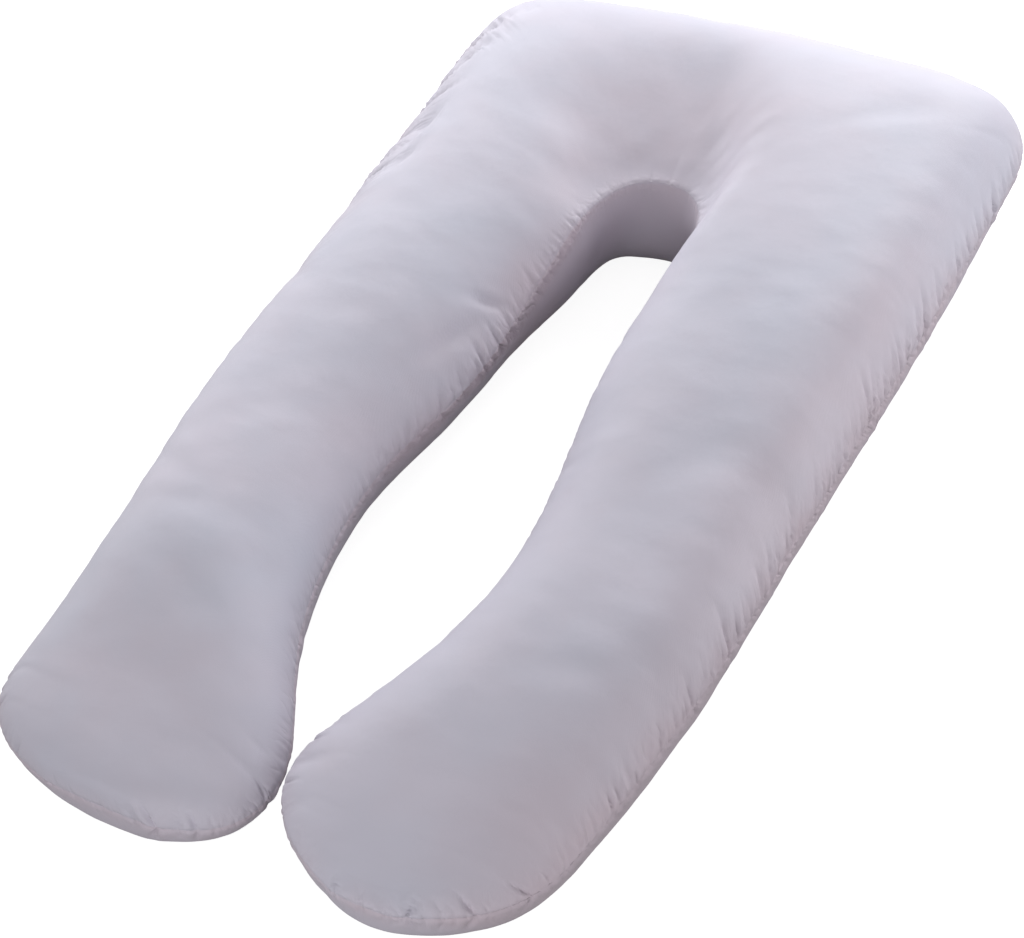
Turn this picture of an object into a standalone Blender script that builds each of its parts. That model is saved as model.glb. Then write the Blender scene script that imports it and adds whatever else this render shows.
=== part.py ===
"""Body pillow: a U of two mirrored cloth panels, sewn together round one edge and filled.

Frame: X runs across the closed end, Y from the two feet to the closed end, and Z up from the
surface that the pillow lies on. The origin is at the bottom centre of the whole. Metres.
"""
import math
from collections import namedtuple

import bmesh
import bpy
import numpy as np

# One cross section of a leg: its place along the leg, how far its outer and inner seams stand
# from the middle of the U, the height of its crown, and the heights of the two seams.
Section = namedtuple("Section", "y outer inner crown outer_seam inner_seam")
RIGHT_LEG = (
    Section(0.162, 0.318, 0.002, 0.112, 0.068, 0.060),
    Section(0.260, 0.333, 0.057, 0.137, 0.081, 0.072),
    Section(0.390, 0.349, 0.094, 0.152, 0.091, 0.083),
    Section(0.520, 0.350, 0.091, 0.160, 0.096, 0.092),
    Section(0.650, 0.356, 0.068, 0.172, 0.102, 0.102),
    Section(0.780, 0.360, 0.058, 0.184, 0.107, 0.115),
    Section(0.910, 0.366, 0.068, 0.196, 0.115, 0.136),
)
LEFT_LEG = (
    Section(0.152, 0.345, -0.006, 0.113, 0.044, 0.048),
    Section(0.260, 0.334, 0.069, 0.147, 0.058, 0.060),
    Section(0.390, 0.351, 0.104, 0.156, 0.071, 0.069),
    Section(0.520, 0.368, 0.114, 0.160, 0.081, 0.077),
    Section(0.650, 0.373, 0.083, 0.168, 0.092, 0.083),
    Section(0.780, 0.371, 0.081, 0.176, 0.105, 0.100),
    Section(0.910, 0.382, 0.074, 0.185, 0.115, 0.140),
)

LENGTH = 1.374              # from the feet to the middle of the closed end
CORNER_RADIUS = 0.055       # of the closed end's outer corners
CROWN_RADIUS = 0.105        # of the same corners higher up, where the cloth is blown out round
RIGHT_FLARE = 0.010         # how far the right side splays out to its corner
LEFT_FLARE = 0.032
END_BOW = 0.020             # how far the closed end's edge bows out between its corners
ARCH_TOP = 1.029            # where the seam runs round the end of the gap between the legs
ARCH_ROUNDNESS = 2.4        # exponent of the gap's round end, 2 for an ellipse
CORNER_CROWN = 0.218
END_CROWN = 0.216
END_OUTER_SEAM = 0.114
END_INNER_SEAM = 0.142
ARCH_BELLY = 0.020          # how far the wall under the arch's seam stands out into the gap
BELLY_LIFT = 0.028          # how much higher the inner seam then is than the outer one

# A foot: where its tip ends, how far the tip leans away from the foot's middle line, towards the
# outside of the U, the height of the seam round the tip, and the exponent of its outline, 2 for
# an ellipse.
Foot = namedtuple("Foot", "tip lean seam roundness")
RIGHT_FOOT = Foot(0.026, 0.0, 0.058, 2.15)
LEFT_FOOT = Foot(0.022, -0.022, 0.045, 2.7)
FOOT_ROWS = (0.13, 0.40)    # cage rows on a foot, as shares of its length
FOOT_FULLNESS = 0.55        # exponent of how the crown drops to the tip of a foot
TIP_POINTS = 4              # seam points across the tip of a foot

LEG_ROWS = 10               # steps between the cage rows along a leg
# Cage rows round one half of the closed end, as shares of the way, closer together at its corner.
END_SHARES = (0.15, 0.29, 0.41, 0.49, 0.57, 0.67, 0.83, 1.0)
ARCH_LAG = 1.2              # how the rows turn from the arch to the outer corner

# The cage of one section, from the outer seam over the top to the inner seam and back under the
# pillow. across is a share of half the width, and up a share of the height over or under the seam.
Point = namedtuple("Point", "across up")
UPPER_PANEL = (Point(0.91, 0.52), Point(0.45, 1.03), Point(-0.45, 1.03), Point(-0.91, 0.52))
LOWER_PANEL = (Point(-0.99, -0.49), Point(-0.64, -1.25), Point(0.64, -1.25), Point(0.99, -0.49))

# The upper panel's inner half where it meets the seam at a crisp edge, on the left leg from
# CRISP[0] on, fully from CRISP[1] on.
CRISP_PANEL = (Point(-0.42, 1.00), Point(-0.86, 0.36))
CRISP = (0.42, 0.66)
# The same half at the arch's right corner, where the filling pushes it out over the seam.
FULL_PANEL = (Point(-0.66, 1.02), Point(-0.99, 0.66))
FULL = (0.80, 0.98)
# The upper panel's outer half along the back of the closed end, where it is filled out firmly.
BACK_PANEL = (Point(0.92, 0.62), Point(0.58, 1.06))
# The lower panel across the closed end, which hangs straighter down under the arch's seam.
END_UNDERSIDE = (Point(-0.97, -0.49), Point(-0.84, -1.25), Point(0.64, -1.25), Point(0.99, -0.49))

# The closed end sags from its back edge down to the arch. The sag's right edge is a line in plan,
# from the arch's right corner back; on the left it fades out over a wide stretch.
Edge = namedtuple("Edge", "y x width")
SAG_RIGHT = (Edge(0.900, 0.100, 0.060), Edge(0.985, 0.110, 0.064), Edge(1.035, 0.112, 0.068),
             Edge(1.085, 0.105, 0.072), Edge(1.145, 0.088, 0.080), Edge(1.200, 0.068, 0.090),
             Edge(1.260, 0.044, 0.100), Edge(1.320, 0.020, 0.120))
SAG_LEFT = (-0.210, -0.060)
SAG_FRONT = (0.860, 1.000)  # where it begins along the U, and where it is full
SAG_RUN = 0.310             # from the arch's seam back to the crest of the closed end
SAG_RISE = 0.082
SAG_CURVE = 1.40            # 1 for a straight slope
SAG_SOFTNESS = 0.010
SEAM_KEEPS = 0.015          # the seam's own line isn't moved by the sag

# Gathers in the seam, as groups of short tucks. start is how far round the seam a group begins,
# from the tip of the right foot along the outside of the U; step is between its tucks; depth is
# how far a tuck sinks the cloth, and reach how far it runs in from the seam.
Gather = namedtuple("Gather", "start step count depth reach")
GATHERS = (
    Gather(0.035, 0.047, 5, 0.006, 0.050),      # round the outside of the right foot
    Gather(0.270, 0.047, 18, 0.005, 0.075),     # along the right side
    Gather(1.110, 0.036, 7, 0.010, 0.110),      # round the right corner
    Gather(1.450, 0.085, 5, 0.004, 0.050),      # across the closed end
    Gather(1.990, 0.045, 4, 0.008, 0.080),      # round the left corner
    Gather(2.200, 0.038, 7, 0.008, 0.100),      # below the left corner
    Gather(2.520, 0.090, 8, 0.003, 0.060),      # along the left side
    Gather(3.290, 0.048, 10, 0.006, 0.050),     # round the left foot
    Gather(3.765, 0.040, 3, 0.007, 0.060),      # inside the left foot
    Gather(3.960, 0.090, 3, 0.003, 0.050),      # inside the left leg
    Gather(4.200, 0.036, 8, 0.009, 0.085),      # inside the left leg, up to the arch
    Gather(4.530, 0.040, 6, 0.005, 0.045),      # round the arch
    Gather(4.900, 0.090, 8, 0.003, 0.050),      # inside the right leg
    Gather(5.640, 0.047, 6, 0.006, 0.050),      # inside the right foot
)
TUCK_WIDTH = 0.30           # of a tuck, as a share of the step to the next one
SEAM_HOLD = 0.25            # how much of a tuck's depth the stiff seam itself follows
DEEPEST = 0.018             # how far in from the seam a tuck is deepest
UNEVEN = 0.3                # how far tucks stray from an even spacing and depth

COVER_COLOUR = (0.56, 0.53, 0.63, 1.0)
FLAT = 1e-6                 # a face is flat on the surface when it lies lower than this

# outer and inner are the seam's points, shoulder the outer edge of the blown-out top, and end how
# far the section is that of the closed end's middle.
Row = namedtuple("Row", "outer inner shoulder crown outer_seam inner_seam belly end")


def clear_scene():
    """Take away whatever the file opened with."""
    for thing in list(bpy.data.objects):
        bpy.data.objects.remove(thing, do_unlink=True)


def between(leg, y):
    """A leg's section at any place y, on a smooth curve through the sections of its table."""
    last = len(leg) - 2
    k = 0
    while k < last and y > leg[k + 1].y:
        k += 1
    before, here, there, after = leg[max(k - 1, 0)], leg[k], leg[k + 1], leg[min(k + 2, last + 1)]
    gap = there.y - here.y
    t = (y - here.y) / gap
    values = []
    for a, b, c, d in zip(before[1:], here[1:], there[1:], after[1:]):
        start = (c - a) / (there.y - before.y) * gap
        stop = (d - b) / (after.y - here.y) * gap
        values.append((2 * t**3 - 3 * t**2 + 1) * b + (t**3 - 2 * t**2 + t) * start
                      + (3 * t**2 - 2 * t**3) * c + (t**3 - t**2) * stop)
    return Section(y, *values)


def foot_rows(leg, foot):
    """The rows of a foot, which narrows to its tip on a rounded outline."""
    first = leg[0]
    middle = (first.outer + first.inner) / 2
    half = (first.outer - first.inner) / 2
    rows = []
    for share in FOOT_ROWS:
        width = (1 - (1 - share)**foot.roundness) ** (1 / foot.roundness)
        centre = middle + foot.lean * (1 - share)**2
        y = foot.tip + (first.y - foot.tip) * share
        seam = foot.seam + (first.outer_seam - foot.seam) * share
        crown = seam + (first.crown - first.outer_seam) * width**FOOT_FULLNESS
        outer = (centre + half * width, y)
        rows.append(Row(outer, (centre - half * width, y), outer, crown, seam, seam, 0.0, 0.0))
    return rows


def belly(outer_seam, inner_seam):
    """How far the inner wall stands out past its seam, which grows as that seam is drawn up."""
    return ARCH_BELLY * (inner_seam - outer_seam) / BELLY_LIFT


def leg_rows(leg):
    """Even rows along a leg, from its foot to where the closed end begins."""
    start, stop = leg[0].y, leg[-1].y
    rows = []
    for k in range(LEG_ROWS + 1):
        s = between(leg, start + (stop - start) * k / LEG_ROWS)
        rows.append(Row((s.outer, s.y), (s.inner, s.y), (s.outer, s.y), s.crown, s.outer_seam,
                        s.inner_seam, belly(s.outer_seam, s.inner_seam), 0.0))
    return rows


def end_outline(leg, share, radius):
    """A point on the closed end's outer edge, from the end of a leg (0) to the middle (1)."""
    side = leg[-1].outer
    side_length = LENGTH - END_BOW - radius - leg[-1].y
    arc_length = radius * math.pi / 2
    top_length = side - radius
    run = share * (side_length + arc_length + top_length)
    if run < side_length:
        return side, leg[-1].y + run
    if run < side_length + arc_length:
        turn = (run - side_length) / radius
        x = side - radius * (1 - math.cos(turn))
        return x, leg[-1].y + side_length + radius * math.sin(turn)
    x = side + side_length + arc_length - radius - run
    bow = END_BOW * (1 - (x / top_length)**2)
    return x, LENGTH - END_BOW + bow


def flared(leg, flare, x, y):
    """The closed end's outline splayed out towards its corner."""
    up_the_side = (y - leg[-1].y) / (LENGTH - leg[-1].y)
    return x + flare * up_the_side**2 * x / leg[-1].outer, y


def arch_outline(leg, share):
    """A point on the round end of the gap, from the end of a leg (0) to the middle (1)."""
    turn = share * math.pi / 2
    x = leg[-1].inner * max(math.cos(turn), 0.0) ** (2 / ARCH_ROUNDNESS)
    y = leg[-1].y + (ARCH_TOP - leg[-1].y) * math.sin(turn) ** (2 / ARCH_ROUNDNESS)
    return x, y


def end_rows(leg, flare):
    """The rows that fan round from the end of a leg to the middle of the closed end."""
    last = leg[-1]
    rows = []
    for share in END_SHARES:
        rise = share * share * (3 - 2 * share)
        outer_seam = last.outer_seam + (END_OUTER_SEAM - last.outer_seam) * rise
        inner_seam = last.inner_seam + (END_INNER_SEAM - last.inner_seam) * rise
        if share < 0.5:
            crown = last.crown + (CORNER_CROWN - last.crown) * share * 2
        else:
            crown = CORNER_CROWN + (END_CROWN - CORNER_CROWN) * (share * 2 - 1)
        outer = flared(leg, flare, *end_outline(leg, share, CORNER_RADIUS))
        shoulder = flared(leg, flare, *end_outline(leg, share, CROWN_RADIUS))
        rows.append(Row(outer, arch_outline(leg, share**ARCH_LAG), shoulder, crown, outer_seam,
                        inner_seam, belly(outer_seam, inner_seam), rise))
    return rows


def half_rows(leg, foot, flare, mirror):
    """All the rows of one half, from its foot to the middle of the closed end."""
    rows = foot_rows(leg, foot) + leg_rows(leg) + end_rows(leg, flare)
    return [r._replace(**{name: (getattr(r, name)[0] * mirror, getattr(r, name)[1])
                          for name in ("outer", "inner", "shoulder")}) for r in rows]


def pillow_rows():
    """The rows of the whole U, from the right foot round to the left foot."""
    right = half_rows(RIGHT_LEG, RIGHT_FOOT, RIGHT_FLARE, 1)
    left = half_rows(LEFT_LEG, LEFT_FOOT, LEFT_FLARE, -1)
    return right + left[-2::-1]


def smooth_step(start, stop, value):
    """How far value has come from start to stop, from 0 to 1, with soft ends."""
    share = np.clip((value - start) / (stop - start), 0.0, 1.0)
    return share * share * (3 - 2 * share)


def blend(point, other, share):
    """A cage point a share of the way from one to another."""
    return Point(*((1 - share) * a + share * b for a, b in zip(point, other)))


def ring_points(row):
    """The cage points of one section: outer seam, upper panel, inner seam, lower panel."""
    outer, inner = np.array(row.outer), np.array(row.inner)
    middle, half = (outer + inner) / 2, (outer - inner) / 2
    width = np.linalg.norm(half)
    points = [(*outer, row.outer_seam)]
    if middle[0] < 0:
        inner_half, share = CRISP_PANEL, smooth_step(*CRISP, inner[1])
    else:
        inner_half, share = FULL_PANEL, smooth_step(*FULL, inner[1])
    upper = [blend(p, c, row.end) for p, c in zip(UPPER_PANEL[:2], BACK_PANEL)]
    upper += [blend(p, c, share) for p, c in zip(UPPER_PANEL[2:], inner_half)]
    for across, up in upper:
        seam = row.outer_seam if across > 0 else row.inner_seam
        blown_out = max(across, 0.0) * (np.array(row.shoulder) - outer)
        points.append((*(middle + half * across + blown_out), seam + (row.crown - seam) * up))
    points.append((*inner, row.inner_seam))
    for on_leg, on_end in zip(LOWER_PANEL, END_UNDERSIDE):
        across, up = blend(on_leg, on_end, row.end)
        seam = row.outer_seam if across > 0 else row.inner_seam
        across -= row.belly / width if across < 0 else 0.0
        points.append((*(middle + half * across), seam + seam * up))
    return points


def tip_points(row, foot):
    """Seam points across the tip of a foot, from its outer seam to its inner seam."""
    outer, inner = np.array(row.outer), np.array(row.inner)
    middle, half = (outer + inner) / 2, (outer - inner) / 2
    points = []
    for k in range(1, TIP_POINTS + 1):
        turn = math.pi * k / (TIP_POINTS + 1)
        x = middle[0] + half[0] * math.cos(turn)
        y = row.outer[1] + (foot.tip - row.outer[1]) * math.sin(turn)
        points.append((x, y, foot.seam))
    return points


def cage_mesh():
    """The coarse cage of the pillow, with its seam marked as a sharp edge."""
    rows = pillow_rows()
    bm = bmesh.new()
    rings = [[bm.verts.new(p) for p in ring_points(row)] for row in rows]
    size = len(rings[0])
    inner = len(UPPER_PANEL) + 1
    seam_edges = []
    for a, b in zip(rings, rings[1:]):
        for k in range(size):
            bm.faces.new((a[k], a[(k + 1) % size], b[(k + 1) % size], b[k]))
        seam_edges += [(a[0], b[0]), (a[inner], b[inner])]
    for ring, row, foot in ((rings[0], rows[0], RIGHT_FOOT), (rings[-1], rows[-1], LEFT_FOOT)):
        tip = [bm.verts.new(p) for p in tip_points(row, foot)]
        seam = [ring[0]] + tip + [ring[inner]]
        over = ring[:inner + 1]
        under = [ring[0]] + ring[:inner - 1:-1]
        for line in (over, under):
            bm.faces.new((seam[0], line[1], seam[1]))
            bm.faces.new((seam[-2], line[-2], seam[-1]))
            for k in range(1, inner - 1):
                bm.faces.new((seam[k], line[k], line[k + 1], seam[k + 1]))
        seam_edges += list(zip(seam, seam[1:]))
    crease = bm.edges.layers.float.new("crease_edge")
    for pair in seam_edges:
        bm.edges.get(pair)[crease] = 1.0
    bmesh.ops.recalc_face_normals(bm, faces=bm.faces)
    mesh = bpy.data.meshes.new("pillow_cage")
    bm.to_mesh(mesh)
    bm.free()
    return mesh


def seam_loop():
    """The seam as one closed line: up the outside, round the left foot, back along the inside."""
    rows = pillow_rows()
    outside = [(*r.outer, r.outer_seam) for r in rows]
    inside = [(*r.inner, r.inner_seam) for r in rows]
    loop = outside + tip_points(rows[-1], LEFT_FOOT) + inside[::-1] + tip_points(rows[0], RIGHT_FOOT)[::-1]
    loop = np.array(loop)
    smooth = (np.roll(loop, 1, axis=0) + 4 * loop + np.roll(loop, -1, axis=0)) / 6
    return np.vstack([smooth, smooth[:1]])


def tuck_places():
    """Each tuck: its point on the seam, the seam's direction there, its width, depth and reach."""
    loop = seam_loop()
    step_lengths = np.linalg.norm(np.diff(loop, axis=0), axis=1)
    runs = np.concatenate([[0.0], np.cumsum(step_lengths)])
    tucks = []
    for row, gather in enumerate(GATHERS):
        for k in range(gather.count):
            stray = UNEVEN * math.sin(2.4 * k + row)
            run = gather.start + gather.step * (k + stray)
            here = np.array([np.interp(run, runs, loop[:, axis]) for axis in range(3)])
            ahead = np.array([np.interp(run + 0.01, runs, loop[:, axis]) for axis in range(3)])
            along = (ahead - here)[:2] / np.linalg.norm((ahead - here)[:2])
            depth = gather.depth * (1 + UNEVEN * math.sin(4.1 * k + 2 * row))
            tucks.append((here, along, gather.step * TUCK_WIDTH, depth, gather.reach * (1 + stray)))
    return tucks


def evaluated_mesh(thing):
    """The object's mesh with its modifiers applied."""
    graph = bpy.context.evaluated_depsgraph_get()
    return bpy.data.meshes.new_from_object(thing.evaluated_get(graph))


def mesh_vectors(items, name):
    """One vector a vertex, as a numpy table."""
    values = np.empty(len(items) * 3)
    items.foreach_get(name, values)
    return values.reshape(-1, 3)


def arch_distance(x, y):
    """How far each place in plan is from the seam round the arch and a little way down the legs."""
    line = []
    for leg, side in ((RIGHT_LEG, 1), (LEFT_LEG, -1)):
        down = [leg[-1].y - 0.15 * k / 40 for k in range(41)]
        line += [(side * between(leg, py).inner, py) for py in down]
        line += [(side * px, py) for px, py in (arch_outline(leg, k / 60) for k in range(61))]
    line = np.array(line)
    return np.array([np.hypot(line[:, 0] - px, line[:, 1] - py).min() for px, py in zip(x, y)])


def sag(mesh):
    """Lower the upper panel of the closed end to its slope down to the arch."""
    points = mesh_vectors(mesh.vertices, "co")
    x, y, z = points.T
    apart = arch_distance(x, y)
    left = 1 - np.clip(apart / SAG_RUN, 0.0, 1.0)
    slope = END_INNER_SEAM + SAG_RISE * (1 - left**SAG_CURVE)
    over = z - slope
    over = (over + np.sqrt(over**2 + SAG_SOFTNESS**2)) / 2
    edges = np.array(SAG_RIGHT)
    right_x, width = (np.interp(y, edges[:, 0], edges[:, k]) for k in (1, 2))
    share = smooth_step(0.0, 1.0, (right_x - x) / width) * smooth_step(*SAG_LEFT, x)
    upper = mesh_vectors(mesh.vertices, "normal")[:, 2] > 0
    share *= smooth_step(*SAG_FRONT, y) * upper
    points[:, 2] -= over * share * np.clip(apart / SEAM_KEEPS, 0.0, 1.0)
    mesh.vertices.foreach_set("co", points.ravel())
    mesh.update()


def gather_and_settle(mesh):
    """Sink the tucks into the cloth near the seam, and press the underside flat on the surface."""
    points = mesh_vectors(mesh.vertices, "co")
    normals = mesh_vectors(mesh.vertices, "normal")
    sink = np.zeros(len(points))
    for here, along, width, depth, reach in tuck_places():
        offset = points[:, :2] - here[:2]
        beside = offset @ along
        inward = offset @ np.array((-along[1], along[0]))
        run_in = np.clip(1 - np.abs(inward) / reach, 0.0, 1.0)**1.5
        held = SEAM_HOLD + (1 - SEAM_HOLD) * np.clip(inward / DEEPEST, 0.0, 1.0)
        off_floor = np.clip(points[:, 2] / here[2], 0.0, 1.0)
        sink += depth * run_in * held * off_floor * np.exp(-(beside / width)**2)
    points -= normals * sink[:, None]
    points[:, 2] = np.maximum(points[:, 2], 0.0)
    middle = (points.min(axis=0) + points.max(axis=0)) / 2
    points[:, :2] -= middle[:2]
    mesh.vertices.foreach_set("co", points.ravel())
    mesh.update()


def merge_base(mesh):
    """Make the flat patch that rests on the surface one face."""
    bm = bmesh.new()
    bm.from_mesh(mesh)
    base = [f for f in bm.faces if max(v.co.z for v in f.verts) < FLAT]
    bmesh.ops.dissolve_faces(bm, faces=base, use_verts=True)
    bm.to_mesh(mesh)
    bm.free()


def cover_material():
    """Satin cotton in a light lavender grey."""
    material = bpy.data.materials.new("cover")
    material.use_nodes = True
    shader = material.node_tree.nodes["Principled BSDF"]
    shader.inputs["Base Color"].default_value = COVER_COLOUR
    shader.inputs["Roughness"].default_value = 0.6
    shader.inputs["Metallic"].default_value = 0.0
    material.diffuse_color = COVER_COLOUR
    return material


def make_pillow(parts):
    """The filled pillow: a subdivided cage, gathered at its seam and settled under its own weight."""
    pillow = bpy.data.objects.new("pillow", cage_mesh())
    parts.objects.link(pillow)
    soft = pillow.modifiers.new("Soft form", "SUBSURF")
    soft.levels = 2
    soft.render_levels = 2
    mesh = evaluated_mesh(pillow)
    sag(mesh)
    gather_and_settle(mesh)
    merge_base(mesh)
    mesh.name = "pillow"
    mesh.shade_smooth()
    mesh.set_sharp_from_angle(angle=math.radians(40))
    pillow.modifiers.clear()
    pillow.data = mesh
    mesh.materials.append(cover_material())


def main():
    clear_scene()
    parts = bpy.data.collections.new("body_pillow")
    bpy.context.scene.collection.children.link(parts)
    make_pillow(parts)


main()
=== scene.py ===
import math
from collections import namedtuple

import bmesh
import bpy
import numpy as np
from mathutils import Matrix, Vector, noise
from mathutils.kdtree import KDTree


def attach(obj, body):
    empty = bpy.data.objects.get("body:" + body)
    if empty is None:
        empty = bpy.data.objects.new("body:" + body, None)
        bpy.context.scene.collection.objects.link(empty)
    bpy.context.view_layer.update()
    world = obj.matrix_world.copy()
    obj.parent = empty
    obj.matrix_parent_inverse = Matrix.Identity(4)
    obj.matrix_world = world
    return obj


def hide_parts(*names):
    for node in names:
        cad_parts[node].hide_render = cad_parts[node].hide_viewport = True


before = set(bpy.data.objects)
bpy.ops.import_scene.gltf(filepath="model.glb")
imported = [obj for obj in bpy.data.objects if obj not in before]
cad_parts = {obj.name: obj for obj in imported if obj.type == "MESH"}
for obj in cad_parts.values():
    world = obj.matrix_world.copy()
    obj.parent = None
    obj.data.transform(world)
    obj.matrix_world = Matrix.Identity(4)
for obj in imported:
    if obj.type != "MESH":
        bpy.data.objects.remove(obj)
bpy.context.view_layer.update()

# ---------------------------------------------------------------------------------------------
# The form of the filled pillow. X runs across the closed end, Y from the feet to the closed end,
# Z up from the floor. Metres.

# One cross section of a leg: its place along the leg, how far its outer and inner seams stand
# from the middle of the U, the height of its crown, and the heights of the two seams.
Section = namedtuple("Section", "y outer inner crown outer_seam inner_seam")
RIGHT_LEG = (
    Section(0.162, 0.321, 0.002, 0.112, 0.072, 0.060),
    Section(0.260, 0.337, 0.057, 0.136, 0.081, 0.072),
    Section(0.390, 0.355, 0.094, 0.150, 0.091, 0.083),
    Section(0.520, 0.357, 0.091, 0.159, 0.096, 0.092),
    Section(0.650, 0.362, 0.068, 0.176, 0.102, 0.102),
    Section(0.780, 0.366, 0.058, 0.191, 0.107, 0.115),
    Section(0.910, 0.372, 0.068, 0.199, 0.115, 0.136),
)
LEFT_LEG = (
    Section(0.152, 0.343, -0.006, 0.111, 0.044, 0.048),
    Section(0.260, 0.332, 0.069, 0.148, 0.058, 0.060),
    Section(0.390, 0.351, 0.104, 0.154, 0.071, 0.069),
    Section(0.520, 0.368, 0.114, 0.158, 0.081, 0.077),
    Section(0.650, 0.373, 0.083, 0.170, 0.092, 0.083),
    Section(0.780, 0.371, 0.081, 0.180, 0.105, 0.100),
    Section(0.910, 0.378, 0.074, 0.185, 0.115, 0.140),
)
LENGTH = 1.368              # from the feet to the middle of the closed end
CORNER_RADIUS = 0.035       # of the closed end's outer corners
CROWN_RADIUS = 0.058        # of the same corners higher up, where the cloth is blown out round
RIGHT_FLARE = 0.002         # how far the right side splays out to its corner
LEFT_FLARE = 0.033          # the same on the left
END_BOW = 0.020             # how far the closed end's edge bows out between its corners
ARCH_TOP = 1.029            # where the seam runs round the end of the gap between the legs
ARCH_ROUNDNESS = 2.4        # exponent of the gap's round end, 2 for an ellipse
CORNER_CROWN = 0.210        # the height of the crown at the corners of the closed end
END_CROWN = 0.214           # and in its middle, before it sags
END_OUTER_SEAM = 0.114      # the height of the seam there, at the back
END_INNER_SEAM = 0.142      # and round the arch
ARCH_BELLY = 0.021          # how far the wall under the arch's seam stands out into the gap
BELLY_LIFT = 0.028          # how much higher the inner seam then is than the outer one
ARCH_LAG = 1.2              # how the rows turn from the arch to the outer corner
MIDDLE = (-0.0145, 0.6976)  # the middle of the whole pillow, which becomes its origin

# A foot: where its tip ends, how far the tip leans away from the foot's middle line, towards the
# outside of the U, the height of the seam round the tip, and the exponent of its outline, 2 for
# an ellipse.
Foot = namedtuple("Foot", "tip lean seam roundness")
RIGHT_FOOT = Foot(0.029, -0.008, 0.058, 2.10)
LEFT_FOOT = Foot(0.024, -0.022, 0.045, 3.15)
FOOT_ROWS = 11              # rows on a foot, closer together at its tip
TIP_ROW = 0.02              # the first of them, as a share of the foot's length
ROW_SPACING = 1.5           # exponent of how the rows come closer together there
LEG_ROWS = 32
END_ROWS = 30
TIP_POINTS = 4              # seam points across the tip of a foot

# The cage of one section, from the outer seam over the top to the inner seam and back under the
# pillow. across is a share of half the width, and up a share of the height over or under the seam.
Point = namedtuple("Point", "across up")
UPPER_PANEL = (Point(0.91, 0.52), Point(0.45, 1.03), Point(-0.45, 1.03), Point(-0.91, 0.52))
LOWER_PANEL = (Point(-0.99, -0.49), Point(-0.64, -1.25), Point(0.64, -1.25), Point(0.99, -0.49))
# The upper panel's inner half where it meets the seam at a crisp edge, on the left leg from
# CRISP_FROM on, fully from CRISP_FULL on.
CRISP_PANEL = (Point(-0.42, 1.00), Point(-0.86, 0.36))
CRISP_FROM, CRISP_FULL = 0.42, 0.66
# The same half at the arch's right corner, where the filling pushes it out over the seam.
FULL_PANEL = (Point(-0.66, 1.02), Point(-0.99, 0.66))
FULL_FROM, FULL_BY = 0.80, 0.98
# The right leg's outer half, where the filling pushes the upper panel up steeply from the seam and
# the lower panel is tucked in under it.
SIDE_PANEL = (Point(0.985, 0.60), Point(0.60, 1.05))
SIDE_UNDER = (Point(0.58, -1.25), Point(0.86, -0.66))
SIDE_FROM, SIDE_FULL = 0.26, 0.46
# The upper panel's outer half along the back of the closed end, where it is filled out firmly.
BACK_PANEL = (Point(0.92, 0.61), Point(0.56, 1.04))
# The lower panel across the closed end, which hangs straighter down under the arch's seam.
END_UNDERSIDE = (Point(-0.97, -0.49), Point(-0.84, -1.25), Point(0.64, -1.25), Point(0.99, -0.49))
FOOT_FULLNESS = 0.36        # exponent of how the crown drops to the tip of a foot
FOOT_FALL = 0.021           # how much lower the top of a foot is at its tip
SMOOTHING = 8               # how many times neighbouring rows are averaged

# outer and inner are the seam's points, shoulder the outer edge of the blown-out top, end says how
# far the section is that of the closed end's middle, and depth how far it hangs down to the floor
# from its seams.
Row = namedtuple("Row", "outer inner shoulder crown outer_seam inner_seam belly end depth")


def between(leg, y):
    """A leg's section at any place y, on a smooth curve through the sections of its table."""
    last = len(leg) - 2
    k = 0
    while k < last and y > leg[k + 1].y:
        k += 1
    before, here, there, after = leg[max(k - 1, 0)], leg[k], leg[k + 1], leg[min(k + 2, last + 1)]
    gap = there.y - here.y
    t = (y - here.y) / gap
    values = []
    for a, b, c, d in zip(before[1:], here[1:], there[1:], after[1:]):
        start = (c - a) / (there.y - before.y) * gap
        stop = (d - b) / (after.y - here.y) * gap
        values.append((2 * t**3 - 3 * t**2 + 1) * b + (t**3 - 2 * t**2 + t) * start
                      + (3 * t**2 - 2 * t**3) * c + (t**3 - t**2) * stop)
    return Section(y, *values)


def foot_rows(leg, foot):
    """The rows of a foot, which narrows to its tip on a rounded outline."""
    first = leg[0]
    middle = (first.outer + first.inner) / 2
    half = (first.outer - first.inner) / 2
    rows = []
    for k in range(FOOT_ROWS):
        share = TIP_ROW + (1 - TIP_ROW) * (k / FOOT_ROWS)**ROW_SPACING
        width = (1 - (1 - share)**foot.roundness) ** (1 / foot.roundness)
        centre = middle + foot.lean * (1 - share)**2
        y = foot.tip + (first.y - foot.tip) * share
        seam = foot.seam + (first.outer_seam - foot.seam) * share
        height = first.crown - first.outer_seam - FOOT_FALL * (1 - share)
        crown = seam + height * width**FOOT_FULLNESS
        outer = (centre + half * width, y)
        rows.append(Row(outer, (centre - half * width, y), outer, crown, seam, seam, 0.0, 0.0,
                        width**FOOT_FULLNESS))
    return rows


def belly(outer_seam, inner_seam):
    """How far the inner wall stands out past its seam, which grows as that seam is drawn up."""
    return ARCH_BELLY * (inner_seam - outer_seam) / BELLY_LIFT


def leg_rows(leg):
    """Even rows along a leg, from its foot to where the closed end begins."""
    start, stop = leg[0].y, leg[-1].y
    rows = []
    for k in range(LEG_ROWS + 1):
        s = between(leg, start + (stop - start) * k / LEG_ROWS)
        rows.append(Row((s.outer, s.y), (s.inner, s.y), (s.outer, s.y), s.crown, s.outer_seam,
                        s.inner_seam, belly(s.outer_seam, s.inner_seam), 0.0, 1.0))
    return rows


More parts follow.
